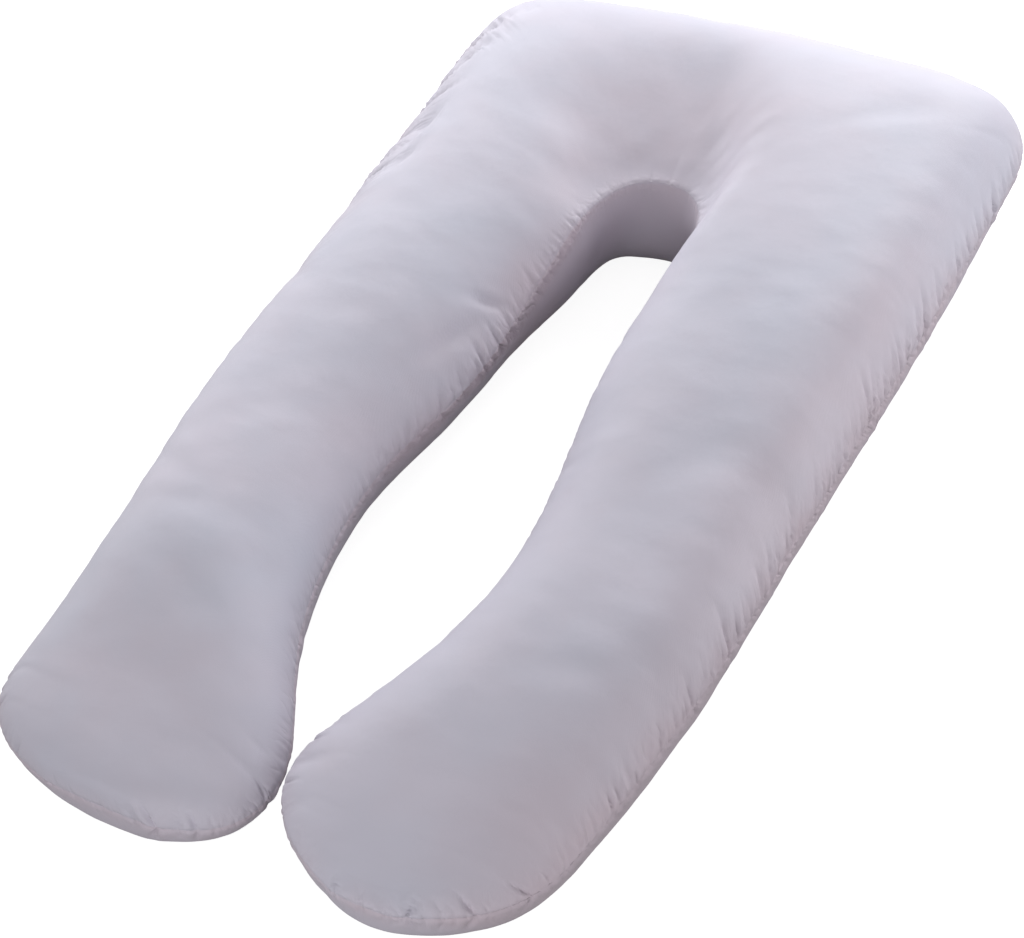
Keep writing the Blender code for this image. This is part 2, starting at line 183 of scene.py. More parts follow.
def end_outline(leg, share, radius):
    """A point on the closed end's outer edge, from the end of a leg (0) to the middle (1)."""
    side = leg[-1].outer
    side_length = LENGTH - END_BOW - radius - leg[-1].y
    arc_length = radius * math.pi / 2
    top_length = side - radius
    run = share * (side_length + arc_length + top_length)
    if run < side_length:
        return side, leg[-1].y + run
    if run < side_length + arc_length:
        turn = (run - side_length) / radius
        x = side - radius * (1 - math.cos(turn))
        return x, leg[-1].y + side_length + radius * math.sin(turn)
    x = side + side_length + arc_length - radius - run
    bow = END_BOW * (1 - (x / top_length)**2)
    return x, LENGTH - END_BOW + bow


def flared(leg, flare, x, y):
    """The closed end's outline splayed out towards its corner."""
    up_the_side = (y - leg[-1].y) / (LENGTH - leg[-1].y)
    return x + flare * up_the_side**2 * x / leg[-1].outer, y


def arch_outline(leg, share):
    """A point on the round end of the gap, from the end of a leg (0) to the middle (1)."""
    turn = share * math.pi / 2
    x = leg[-1].inner * max(math.cos(turn), 0.0) ** (2 / ARCH_ROUNDNESS)
    y = leg[-1].y + (ARCH_TOP - leg[-1].y) * math.sin(turn) ** (2 / ARCH_ROUNDNESS)
    return x, y


def end_rows(leg, flare):
    """The rows that fan round from the end of a leg to the middle of the closed end."""
    last = leg[-1]
    rows = []
    for k in range(1, END_ROWS + 1):
        share = k / END_ROWS
        rise = share * share * (3 - 2 * share)
        outer_seam = last.outer_seam + (END_OUTER_SEAM - last.outer_seam) * rise
        inner_seam = last.inner_seam + (END_INNER_SEAM - last.inner_seam) * rise
        if share < 0.5:
            crown = last.crown + (CORNER_CROWN - last.crown) * share * 2
        else:
            crown = CORNER_CROWN + (END_CROWN - CORNER_CROWN) * (share * 2 - 1)
        outer = flared(leg, flare, *end_outline(leg, share, CORNER_RADIUS))
        shoulder = flared(leg, flare, *end_outline(leg, share, CROWN_RADIUS))
        inner = arch_outline(leg, share**ARCH_LAG)
        rows.append(Row(outer, inner, shoulder, crown, outer_seam, inner_seam,
                        belly(outer_seam, inner_seam), rise, 1.0))
    return rows


def half_rows(leg, foot, flare, mirror):
    """All the rows of one half, from its foot to the middle of the closed end."""
    rows = foot_rows(leg, foot) + leg_rows(leg) + end_rows(leg, flare)
    return [r._replace(**{name: (getattr(r, name)[0] * mirror, getattr(r, name)[1])
                          for name in ("outer", "inner", "shoulder")}) for r in rows]


def pillow_rows():
    """The rows of the whole U, from the right foot round to the left foot, evened out."""
    right = half_rows(RIGHT_LEG, RIGHT_FOOT, RIGHT_FLARE, 1)
    left = half_rows(LEFT_LEG, LEFT_FOOT, LEFT_FLARE, -1)
    rows = right + left[-2::-1]
    table = np.array([[*r.outer, *r.inner, *r.shoulder, *r[3:]] for r in rows])
    for _ in range(SMOOTHING):
        table[1:-1] = (table[:-2] + 2 * table[1:-1] + table[2:]) / 4
    return [Row(t[0:2], t[2:4], t[4:6], *t[6:]) for t in table]


def smooth_step(start, stop, value):
    """How far value has come from start to stop, from 0 to 1, with soft ends."""
    share = np.clip((value - start) / (stop - start), 0.0, 1.0)
    return share * share * (3 - 2 * share)


def blended(panel, other, share):
    """A panel's cage points, moved by a share of the way to another panel's."""
    return [Point(*((1 - share) * a + share * b for a, b in zip(here, there)))
            for here, there in zip(panel, other)]


def ring_points(row):
    """The cage points of one section: outer seam, upper panel, inner seam, lower panel."""
    outer, inner = np.array(row.outer), np.array(row.inner)
    middle, half = (outer + inner) / 2, (outer - inner) / 2
    width = np.linalg.norm(half)
    points = [(*outer, row.outer_seam)]
    if middle[0] < 0:
        inner_half, share = CRISP_PANEL, smooth_step(CRISP_FROM, CRISP_FULL, inner[1])
    else:
        inner_half, share = FULL_PANEL, smooth_step(FULL_FROM, FULL_BY, inner[1])
    steep = smooth_step(SIDE_FROM, SIDE_FULL, outer[1]) * (middle[0] > 0)
    outer_half = blended(UPPER_PANEL[:2], SIDE_PANEL, steep)
    upper = blended(outer_half, BACK_PANEL, row.end) + blended(UPPER_PANEL[2:], inner_half, share)
    under_leg = [*LOWER_PANEL[:2], *blended(LOWER_PANEL[2:], SIDE_UNDER, steep)]
    for across, up in upper:
        seam = row.outer_seam if across > 0 else row.inner_seam
        blown_out = max(across, 0.0) * (np.array(row.shoulder) - outer)
        points.append((*(middle + half * across + blown_out), seam + (row.crown - seam) * up))
    points.append((*inner, row.inner_seam))
    for across, up in blended(under_leg, END_UNDERSIDE, row.end):
        seam = row.outer_seam if across > 0 else row.inner_seam
        across -= row.belly / width if across < 0 else 0.0
        points.append((*(middle + half * across), seam + seam * up * row.depth))
    return points


def tip_points(row, foot):
    """Seam points across the tip of a foot, from its outer seam to its inner seam."""
    outer, inner = np.array(row.outer), np.array(row.inner)
    middle, half = (outer + inner) / 2, (outer - inner) / 2
    points = []
    for k in range(1, TIP_POINTS + 1):
        turn = math.pi * k / (TIP_POINTS + 1)
        x = middle[0] + half[0] * math.cos(turn)
        y = row.outer[1] + (foot.tip - row.outer[1]) * math.sin(turn)
        points.append((x, y, foot.seam))
    return points


# The closed end sags from its back edge down to the arch. The sag's right edge is a line in plan,
# from the arch's right corner back; on the left it fades out over a wide stretch.
Edge = namedtuple("Edge", "y x width")
SAG_RIGHT = (Edge(0.900, 0.090, 0.024), Edge(0.985, 0.098, 0.032), Edge(1.035, 0.100, 0.040),
             Edge(1.085, 0.093, 0.050), Edge(1.145, 0.077, 0.062), Edge(1.200, 0.058, 0.075),
             Edge(1.260, 0.036, 0.090), Edge(1.320, 0.015, 0.110))
SAG_LEFT = (-0.270, -0.120)     # where it begins across the U, from the left, and is full
SAG_FRONT = (0.860, 1.000)      # the same along the U, from the front
SAG_RUN = 0.310                 # from the arch's seam back to the crest of the closed end
SAG_SIDE_RUN = 0.200            # the same to the left of the arch, where the slope is steeper
SAG_SIDE = (-0.090, -0.150)     # where the steeper slope begins across the U, and is full
SAG_SIDE_END = (0.990, 1.070)   # where it begins to end along the U, and has ended
SAG_RISE = 0.082                # from the arch's seam up to the crest
SAG_CURVE = 1.40                # 1 for a straight slope
SAG_SOFTNESS = 0.010            # how softly the slope meets the crown round it
SEAM_KEEPS = 0.015              # how far from the seam, which keeps its line, the sag is full

# The seam round the arch and a little way down the legs, as a line of points in plan.
ARCH_LEG_FROM = 0.76
ARCH_LEG_RUN = 0.15
ARCH_LEG_STEPS = 40
ARCH_STEPS = 60


def in_plan(points):
    """The places of points across and along the U, where its tables measure them."""
    return points[:, 0] + MIDDLE[0], points[:, 1] + MIDDLE[1]


def arch_distance(x, y):
    """How far each place in plan is from the seam round the arch."""
    line = []
    for leg, side in ((RIGHT_LEG, 1), (LEFT_LEG, -1)):
        for k in range(ARCH_LEG_STEPS + 1):
            along = ARCH_LEG_FROM + ARCH_LEG_RUN * k / ARCH_LEG_STEPS
            line.append((side * between(leg, along).inner, along))
        for k in range(ARCH_STEPS + 1):
            across, along = arch_outline(leg, k / ARCH_STEPS)
            line.append((side * across, along))
    tree = KDTree(len(line))
    for k, (px, py) in enumerate(line):
        tree.insert((px, py, 0.0), k)
    tree.balance()
    return np.array([tree.find((px, py, 0.0))[2] for px, py in zip(x, y)])


def sag(points, panel, away):
    """Lower the upper panel of the closed end to its slope down to the arch."""
    x, y = in_plan(points)
    beside = smooth_step(*SAG_SIDE, x) * (1 - smooth_step(*SAG_SIDE_END, y))
    slope_run = SAG_RUN + (SAG_SIDE_RUN - SAG_RUN) * beside
    left = 1 - np.clip(arch_distance(x, y) / slope_run, 0.0, 1.0)
    slope = END_INNER_SEAM + SAG_RISE * (1 - left**SAG_CURVE)
    over = points[:, 2] - slope
    over = (over + np.sqrt(over**2 + SAG_SOFTNESS**2)) / 2
    edges = np.array(SAG_RIGHT)
    right_x, width = (np.interp(y, edges[:, 0], edges[:, k]) for k in (1, 2))
    share = smooth_step(0.0, 1.0, (right_x - x) / width) * smooth_step(*SAG_LEFT, x)
    share *= smooth_step(*SAG_FRONT, y) * (panel > 0)
    points[:, 2] -= over * share * np.clip(away / SEAM_KEEPS, 0.0, 1.0)


def finished(bm, name):
    """The mesh that was put together in bm."""
    mesh = bpy.data.meshes.new(name)
    bm.to_mesh(mesh)
    bm.free()
    return mesh


def placed(name, data):
    """A new object in the scene."""
    thing = bpy.data.objects.new(name, data)
    bpy.context.scene.collection.objects.link(thing)
    return thing


def cover_cage():
    """The cover's two panels as a cage of sections, joined along a creased seam."""
    rows = pillow_rows()
    bm = bmesh.new()
    panel = bm.verts.layers.float.new("panel")
    rings = [[bm.verts.new(p) for p in ring_points(row)] for row in rows]
    size = len(rings[0])
    inner = len(UPPER_PANEL) + 1
    seam_edges = []
    for a, b in zip(rings, rings[1:]):
        for k in range(size):
            bm.faces.new((a[k], a[(k + 1) % size], b[(k + 1) % size], b[k]))
        seam_edges += [(a[0], b[0]), (a[inner], b[inner])]
    for ring, row, foot in ((rings[0], rows[0], RIGHT_FOOT), (rings[-1], rows[-1], LEFT_FOOT)):
        tip = [bm.verts.new(p) for p in tip_points(row, foot)]
        seam = [ring[0]] + tip + [ring[inner]]
        over = ring[:inner + 1]
        under = [ring[0]] + ring[:inner - 1:-1]
        for line in (over, under):
            bm.faces.new((seam[0], line[1], seam[1]))
            bm.faces.new((seam[-2], line[-2], seam[-1]))
            for k in range(1, inner - 1):
                bm.faces.new((seam[k], line[k], line[k + 1], seam[k + 1]))
        seam_edges += list(zip(seam, seam[1:]))
    for ring in rings:
        for k, vert in enumerate(ring):
            vert[panel] = 0.0 if k in (0, inner) else 1.0 if k < inner else -1.0
    crease = bm.edges.layers.float.new("crease_edge")
    for pair in seam_edges:
        bm.edges.get(pair)[crease] = 1.0
    bmesh.ops.recalc_face_normals(bm, faces=bm.faces)
    mesh = finished(bm, "cover_cage")
    mesh.transform(Matrix.Translation((-MIDDLE[0], -MIDDLE[1], 0.0)))
    return mesh


def applied(thing):
    """The object's mesh with its modifiers applied."""
    graph = bpy.context.evaluated_depsgraph_get()
    return bpy.data.meshes.new_from_object(thing.evaluated_get(graph))


def subdivide(thing, levels):
    """Subdivide a piece and keep the result."""
    smooth = thing.modifiers.new("Subdivision", "SUBSURF")
    smooth.levels = levels
    smooth.render_levels = levels
    mesh = applied(thing)
    thing.modifiers.clear()
    thing.data = mesh


def vectors(items, name="co"):
    """One vector a vertex, as a numpy table."""
    values = np.empty(len(items) * 3)
    items.foreach_get(name, values)
    return values.reshape(-1, 3)


def put_points(mesh, points):
    mesh.vertices.foreach_set("co", points.ravel())
    mesh.update()


def put_on_floor(mesh, points):
    """Put the points in place and keep the base flat on the floor."""
    points[:, 2] = np.maximum(points[:, 2], 0.0)
    put_points(mesh, points)


# ---------------------------------------------------------------------------------------------
# Materials

class Value:
    """A shader number. An expression on such numbers adds a Math node for each of its signs."""

    def __init__(self, maker, socket):
        self.maker, self.socket = maker, socket

    def worked(self, operation, *values):
        sockets = dict(zip(("Value", "Value_001"), values))
        node = self.maker.node("Math", {"operation": operation}, sockets)
        return Value(self.maker, node.outputs[0])

    def __add__(self, other):
        return self.worked("ADD", self, other)

    def __sub__(self, other):
        return self.worked("SUBTRACT", self, other)

    def __rsub__(self, other):
        return self.worked("SUBTRACT", other, self)

    def __mul__(self, other):
        return self.worked("MULTIPLY", self, other)

    __radd__ = __add__
    __rmul__ = __mul__

    def wave(self):
        return self.worked("SINE", self)

    def size(self):
        return self.worked("ABSOLUTE", self)

    def kept_to_one(self):
        node = self.maker.node("Clamp", {}, {"Value": self})
        return Value(self.maker, node.outputs[0])


class Maker:
    """Puts one material together."""

    def __init__(self, name):
        self.material = bpy.data.materials.new(name)
        self.material.use_nodes = True
        self.tree = self.material.node_tree
        self.shader = self.tree.nodes["Principled BSDF"]
        self.surface = self.tree.nodes["Material Output"].inputs["Surface"]

    def node(self, kind, settings=None, sockets=None):
        """A node of any kind: its settings first, then the values or links of its sockets."""
        made = self.tree.nodes.new("ShaderNode" + kind)
        for name, value in (settings or {}).items():
            setattr(made, name, value)
        for name, value in (sockets or {}).items():
            self.plug(next(s for s in made.inputs if name in (s.name, s.identifier)), value)
        return made

    def plug(self, socket, value):
        if isinstance(value, Value):
            self.tree.links.new(value.socket, socket)
        elif isinstance(value, bpy.types.NodeSocket):
            self.tree.links.new(value, socket)
        else:
            socket.default_value = value

    def attribute(self, name):
        node = self.node("Attribute", {"attribute_name": name})
        return Value(self, node.outputs["Fac"])

    def noise(self, place, scale, detail, stretch=(1.0, 1.0, 1.0)):
        """Cloudy noise from 0 to 1, at a number of clouds a metre."""
        scaled = self.node("VectorMath", {"operation": "MULTIPLY"},
                           {"Vector": place, "Vector_001": stretch})
        node = self.node("TexNoise", {},
                         {"Vector": scaled.outputs[0], "Scale": scale, "Detail": detail})
        return Value(self, node.outputs["Fac"])

    def mixed(self, share, colour, other):
        node = self.node("Mix", {"data_type": "RGBA"},
                         {"Factor_Float": share, "A_Color": colour, "B_Color": other})
        return next(s for s in node.outputs if s.identifier == "Result_Color")


# ---------------------------------------------------------------------------------------------
# Camera, light and floor

CAMERA_AT = (0.8591, -1.3476, 1.5186)
CAMERA_AZIMUTH, CAMERA_ELEVATION, CAMERA_ROLL = (math.radians(a) for a in (30.80, 46.75, -5.28))
LENS = 65.40                # millimetres, before a sensor 36 wide
SENSOR = 36.0
SHIFT = (-0.0796, 0.0656)


def set_camera():
    """The camera stands before the feet, to their right, and looks down along the pillow."""
    a, e, r = CAMERA_AZIMUTH, CAMERA_ELEVATION, CAMERA_ROLL
    back = Vector((math.sin(a) * math.cos(e), -math.cos(a) * math.cos(e), math.sin(e)))
    level = Vector((math.cos(a), math.sin(a), 0.0))
    upright = back.cross(level)
    right = level * math.cos(r) + upright * math.sin(r)
    up = upright * math.cos(r) - level * math.sin(r)
    data = bpy.data.cameras.new("Camera")
    data.lens = LENS
    data.sensor_width = SENSOR
    data.shift_x, data.shift_y = SHIFT
    data.clip_end = 100.0
    camera = placed("Camera", data)
    camera.matrix_world = Matrix((
        (right.x, up.x, back.x, CAMERA_AT[0]),
        (right.y, up.y, back.y, CAMERA_AT[1]),
        (right.z, up.z, back.z, CAMERA_AT[2]),
        (0.0, 0.0, 0.0, 1.0),
    ))
    bpy.context.scene.camera = camera


# The soft boxes: where they hang, how wide they are and their power in watts.
SoftBox = namedtuple("SoftBox", "name at size watts")
SOFT_BOXES = (
    SoftBox("back", (0.0, 2.18, 1.11), 1.2, 37.0),
    SoftBox("back_left", (-1.54, 1.54, 1.11), 1.2, 23.0),
    SoftBox("left", (-1.70, 0.0, 0.80), 1.0, 11.5),
    SoftBox("right", (1.70, 0.62, 0.62), 1.0, 13.6),
    SoftBox("front", (0.30, -1.90, 0.50), 1.0, 9.2),
)
BOXES_FACE = (0.0, 0.0, 0.1)
SURROUND = 0.33             # strength of the even white light from all round
FLOOR_SIZE = 12.0
FLOOR_DROP = 0.0005         # under the pillow's base, so that the two don't lie in one plane
FLOOR_GREY = (0.36, 0.36, 0.36, 1.0)
FLOOR_GLOW = 0.90


def set_lights():
    """Soft boxes behind the closed end, weaker ones at the sides and feet, and a surround."""
    for box in SOFT_BOXES:
        data = bpy.data.lights.new(box.name, "AREA")
        data.shape = "SQUARE"
        data.size = box.size
        data.energy = box.watts
        light = placed(box.name, data)
        light.location = box.at
        light.rotation_mode = "QUATERNION"
        facing = Vector(BOXES_FACE) - Vector(box.at)
        light.rotation_quaternion = facing.to_track_quat("-Z", "Y")
    world = bpy.data.worlds.new("Studio")
    world.use_nodes = True
    surround = world.node_tree.nodes["Background"]
    surround.inputs["Color"].default_value = (1.0, 1.0, 1.0, 1.0)
    surround.inputs["Strength"].default_value = SURROUND
    bpy.context.scene.world = world


def white_floor():
    """A floor that looks white, yet throws little light back up under the pillow."""
    m = Maker("white floor")
    m.tree.nodes.remove(m.shader)
    dull = m.node("BsdfDiffuse", {}, {"Color": FLOOR_GREY})
    glow = m.node("Emission", {}, {"Strength": FLOOR_GLOW})
    bright = m.node("AddShader", {}, {"Shader": dull.outputs[0], "Shader_001": glow.outputs[0]})
    looked_at = m.node("LightPath").outputs["Is Camera Ray"]
    either = m.node("MixShader", {}, {"Fac": looked_at, "Shader": dull.outputs[0],
                                      "Shader_001": bright.outputs[0]})
    m.plug(m.surface, either.outputs[0])
    return m.material


def lay_floor():
    bm = bmesh.new()
    bmesh.ops.create_grid(bm, x_segments=1, y_segments=1, size=FLOOR_SIZE)
    floor = placed("Floor", finished(bm, "Floor"))
    floor.location.z = -FLOOR_DROP
    floor.data.materials.append(white_floor())


# ---------------------------------------------------------------------------------------------
# The seam, and the puckers along it

def on_seam(mesh):
    """Which of the mesh's edges lie on the seam."""
    creased = np.empty(len(mesh.edges))
    mesh.attributes["crease_edge"].data.foreach_get("value", creased)
    return creased > 0.5


class Seam:
    """The seam as one closed line of points, measured from the tip of the right foot: up the
    outside of the U, round the left foot, back along the inside."""

    def __init__(self, mesh):
        edges = np.empty(len(mesh.edges) * 2, dtype=int)
        mesh.edges.foreach_get("vertices", edges)
        next_to = {}
        for a, b in edges.reshape(-1, 2)[on_seam(mesh)]:
            next_to.setdefault(a, []).append(b)
            next_to.setdefault(b, []).append(a)
        points = vectors(mesh.vertices)
        right = [v for v in next_to if points[v, 0] > 0]
        first = min(right, key=lambda v: points[v, 1])
        here = max(next_to[first], key=lambda v: points[v, 0])
        order = [first]
        while here != first:
            order.append(here)
            here = next(v for v in next_to[here] if v != order[-2])
        self.points = points[np.array(order)]
        steps = np.linalg.norm(np.roll(self.points, -1, axis=0) - self.points, axis=1)
        self.runs = np.concatenate([[0.0], np.cumsum(steps)])
        self.length = self.runs[-1]
        self.tree = KDTree(len(order))
        for k, p in enumerate(self.points):
            self.tree.insert(p, k)
        self.tree.balance()

    def measure(self, points):
        """How far along the seam each point lies, and how far from it."""
        nearest = np.array([self.tree.find(p)[1] for p in points])
        run = np.empty(len(points))
        away = np.full(len(points), np.inf)
        count = len(self.points)
        for shift in (-1, 0):
            k = (nearest + shift) % count
            start, stop = self.points[k], self.points[(k + 1) % count]
            edge = stop - start
            share = ((points - start) * edge).sum(axis=1) / (edge * edge).sum(axis=1)
            share = np.clip(share, 0.0, 1.0)
            distance = np.linalg.norm(points - start - edge * share[:, None], axis=1)
            better = distance < away
            run[better] = (self.runs[k] + share * np.linalg.norm(edge, axis=1))[better]
            away[better] = distance[better]
        return run, away


# Puckers in groups along the seam. start, stop and step are metres round the seam; depth and
# reach are of the deepest, and slant is how far a pucker leans along the seam as it runs in.
Group = namedtuple("Group", "start stop step width depth reach slant")
# The wide soft ones, which the cloth is cut with before it is filled.
SOFT_FOLDS = (
    Group(0.03, 0.24, 0.060, 0.0080, 0.0035, 0.050, 0.1),  # the right foot's outer side
    Group(0.24, 0.62, 0.042, 0.0080, 0.0045, 0.055, 0.5),  # the right side
    Group(0.62, 1.10, 0.034, 0.0080, 0.0055, 0.060, 0.7),
    Group(1.10, 1.36, 0.030, 0.0070, 0.0040, 0.045, 0.3),  # the right corner
    Group(1.40, 1.95, 0.070, 0.0080, 0.0045, 0.050, 0.0),  # across the closed end
    Group(1.98, 2.20, 0.034, 0.0080, 0.0090, 0.095, -0.3),  # the left corner
    Group(2.20, 2.62, 0.030, 0.0080, 0.0080, 0.110, -0.6),
    Group(2.62, 3.30, 0.060, 0.0080, 0.0045, 0.070, -0.4),  # the left side
    Group(3.30, 3.82, 0.060, 0.0070, 0.0020, 0.050, 0.1),  # the left foot
    Group(3.82, 4.15, 0.070, 0.0070, 0.0040, 0.045, 0.3),
    Group(4.15, 4.50, 0.028, 0.0070, 0.0030, 0.036, 0.4),  # inside the left leg
    Group(4.50, 4.80, 0.032, 0.0060, 0.0020, 0.024, 0.0),  # round the arch
    Group(4.80, 5.55, 0.070, 0.0080, 0.0035, 0.060, 0.3),  # inside the right leg
    Group(5.55, 5.90, 0.060, 0.0070, 0.0030, 0.050, -0.1),  # the right foot
)
# The short sharp ones between them, pressed in afterwards.
FINE_PUCKERS = (
    Group(0.03, 0.24, 0.013, 0.0022, 0.0030, 0.026, 0.1),
    Group(0.24, 0.62, 0.014, 0.0030, 0.0060, 0.036, 0.6),
    Group(0.62, 1.10, 0.013, 0.0030, 0.0080, 0.046, 0.8),
    Group(1.10, 1.36, 0.013, 0.0030, 0.0065, 0.040, 0.4),
    Group(1.40, 1.95, 0.026, 0.0026, 0.0021, 0.022, 0.0),
    Group(1.98, 2.20, 0.014, 0.0028, 0.0045, 0.042, -0.4),
    Group(2.20, 2.62, 0.014, 0.0034, 0.0065, 0.090, -0.8),
    Group(2.62, 3.30, 0.022, 0.0026, 0.0021, 0.030, -0.5),
    Group(3.30, 3.82, 0.012, 0.0022, 0.0032, 0.026, 0.1),
    Group(3.82, 4.15, 0.014, 0.0022, 0.0026, 0.022, 0.3),
    Group(4.15, 4.40, 0.014, 0.0030, 0.0040, 0.030, 0.5),
    Group(4.40, 4.62, 0.011, 0.0030, 0.0044, 0.028, 0.4),
    Group(4.62, 4.80, 0.011, 0.0024, 0.0022, 0.013, 0.0),
    Group(4.80, 5.55, 0.024, 0.0026, 0.0018, 0.022, 0.3),
    Group(5.55, 5.90, 0.013, 0.0022, 0.0030, 0.026, -0.1),
    Group(0.40, 0.60, 0.017, 0.0030, 0.0065, 0.050, 0.6),  # where they are strongest
    Group(0.83, 1.07, 0.015, 0.0032, 0.0105, 0.068, 0.7),
    Group(1.12, 1.26, 0.016, 0.0030, 0.0080, 0.045, 0.4),
)
# under is the share of a pucker's depth that is left on the lower panel.
Pucker = namedtuple("Pucker", "run width depth reach slant under")
# The deep slits that stand alone.
SLITS = (
    Pucker(0.045, 0.0046, 0.0075, 0.030, 0.5, 0.6),  # the right foot
    Pucker(0.110, 0.0040, 0.0060, 0.030, -0.6, 0.6),
    Pucker(0.165, 0.0035, 0.0050, 0.030, -0.8, 0.6),
    Pucker(5.690, 0.0030, 0.0060, 0.034, -0.2, 0.5),
    Pucker(5.745, 0.0030, 0.0050, 0.028, 0.1, 0.5),
    Pucker(5.885, 0.0026, 0.0045, 0.026, 0.0, 0.6),
    Pucker(5.915, 0.0026, 0.0050, 0.028, 0.0, 0.6),
    Pucker(3.400, 0.0030, 0.0050, 0.034, 0.2, 0.5),  # the left foot
    Pucker(3.470, 0.0030, 0.0050, 0.030, 0.2, 0.5),
    Pucker(3.590, 0.0028, 0.0048, 0.022, 0.0, 0.6),
    Pucker(3.632, 0.0040, 0.0040, 0.036, -0.2, 0.6),
    Pucker(3.655, 0.0036, 0.0080, 0.040, -0.5, 0.8),
    Pucker(3.695, 0.0036, 0.0060, 0.030, -0.2, 0.8),
    Pucker(3.770, 0.0036, 0.0050, 0.034, 0.3, 0.8),
    Pucker(1.095, 0.0034, 0.0100, 0.042, 0.5, 0.7),  # the right corner
    Pucker(1.135, 0.0030, 0.0110, 0.034, 0.3, 0.7),
    Pucker(1.165, 0.0034, 0.0130, 0.040, 0.4, 0.7),
    Pucker(1.198, 0.0030, 0.0110, 0.030, 0.1, 0.7),
    Pucker(1.222, 0.0036, 0.0150, 0.042, 0.4, 0.7),
    Pucker(1.262, 0.0030, 0.0090, 0.030, 0.1, 0.7),
    Pucker(1.300, 0.0034, 0.0100, 0.036, 0.0, 0.7),
    Pucker(1.690, 0.0040, 0.0070, 0.045, 0.4, 0.7),  # the closed end
    Pucker(1.740, 0.0040, 0.0050, 0.035, 0.0, 0.7),
    Pucker(1.805, 0.0040, 0.0060, 0.035, 0.2, 0.7),
    Pucker(2.095, 0.0060, 0.0190, 0.110, -0.4, 0.7),  # the left corner
    Pucker(2.150, 0.0060, 0.0170, 0.100, -0.4, 0.7),
    Pucker(2.335, 0.0070, 0.0230, 0.160, -0.9, 0.5),  # the left side
    Pucker(2.385, 0.0060, 0.0190, 0.140, -0.8, 0.5),
    Pucker(2.430, 0.0060, 0.0150, 0.110, -0.5, 0.5),
    Pucker(4.255, 0.0050, 0.0040, 0.030, 0.6, 0.8),  # inside the left leg
    Pucker(4.310, 0.0045, 0.0050, 0.036, 0.7, 1.0),
    Pucker(4.350, 0.0045, 0.0046, 0.034, 0.6, 1.0),
    Pucker(4.395, 0.0040, 0.0050, 0.040, 0.3, 1.0),
    Pucker(4.430, 0.0040, 0.0040, 0.040, 0.3, 1.0),
)
SEAM_HOLD = 0.18            # how much of a pucker's depth the stiff seam itself follows
DEEPEST = 0.008             # how far in from the seam a pucker is deepest
SPREAD = 12.0               # how a pucker widens as it runs in
PUCKER_FADE = 1.4           # exponent of how it fades out there
PUCKER_SPAN = 14            # how many of its widths it is felt to each side
SLIT_STEEPNESS = 1.6
SLIT_BLUNTNESS = 0.04       # 0 for a sharp crease
SWELL = 0.42                # how high the cloth beside a pucker swells, as a share of its slit
SWELL_WIDTH = 2.6           # how wide that swelling is, in widths of the pucker
SLIT_LESS_SWELL = 0.58      # the two together in the middle of a pucker
# How one pucker of a group differs from the next. The curve makes most of them weak, and a weak
# one is short too. Widths, reaches and steps are multiplied by a number in their range, slants
# are turned by one, and the last range is that of Pucker's under.
STRENGTHS, STRENGTH_CURVE = (0.15, 1.0), 1.4
WIDTHS = (0.7, 1.4)
SHORTEST = 0.35             # the reach of one with no strength, as a share of the strongest's
REACHES = (0.8, 1.2)
SLANTS = (-0.25, 0.25)
UNDERS = (0.5, 1.0)
STEPS = (0.55, 1.45)

# The finest puckers of all, which are everywhere along the seam. Each row is a place on the seam,
# how far apart they are there, how high, how far in they reach and how they slant. under is how
# high they are on the lower panel, as a share of that height.
Crimp = namedtuple("Crimp", "run apart height reach slant under")
CRIMPS = (
    Crimp(0.00, 0.013, 0.0014, 0.030, 0.0, 1.0),  # the right foot
    Crimp(0.30, 0.013, 0.0024, 0.036, 0.5, 0.6),
    Crimp(0.75, 0.012, 0.0030, 0.044, 0.8, 0.6),  # the right side
    Crimp(1.20, 0.012, 0.0030, 0.034, 0.5, 0.6),
    Crimp(1.40, 0.018, 0.0010, 0.040, 0.0, 1.0),  # the closed end
    Crimp(1.90, 0.018, 0.0010, 0.040, 0.0, 1.0),
    Crimp(2.15, 0.014, 0.0026, 0.080, -0.5, 1.0),  # the left corner
    Crimp(2.50, 0.014, 0.0028, 0.100, -0.7, 1.0),
    Crimp(3.10, 0.015, 0.0014, 0.060, -0.4, 1.0),  # the left side
    Crimp(3.50, 0.013, 0.0015, 0.030, 0.0, 1.0),  # the left foot
    Crimp(3.80, 0.013, 0.0016, 0.032, 0.2, 1.0),
    Crimp(4.20, 0.012, 0.0016, 0.028, 0.5, 1.0),  # inside the left leg
    Crimp(4.45, 0.011, 0.0020, 0.030, 0.4, 2.6),
    Crimp(4.60, 0.011, 0.0013, 0.022, 0.2, 2.6),  # the arch
    Crimp(4.75, 0.012, 0.0008, 0.014, 0.0, 1.0),
    Crimp(5.20, 0.016, 0.0008, 0.030, 0.3, 1.0),
    Crimp(5.60, 0.013, 0.0013, 0.032, 0.1, 1.0),
)
COUNTING_STEPS = 1200       # places round the seam at which the crimps are counted
CRIMP_CHANGE = 1.2          # how much a crimp changes over its reach
CRIMP_FADE = 1.3            # exponent of how a crimp fades out as it runs in
CRIMP_NARROWNESS = 3.2      # how narrow a crimp is beside the cloth between two of them
CRIMP_SWELL = 0.3           # how high that cloth swells, as a share of a crimp
CLUSTERED = 0.16            # clusters of strong crimps, to a crimp
CLUSTER_MEAN = 0.8          # how strong the crimps are in all, and how much that varies
CLUSTER_VARIES = 2.2
CLUSTER_WEAKEST, CLUSTER_STRONGEST = 0.1, 1.5


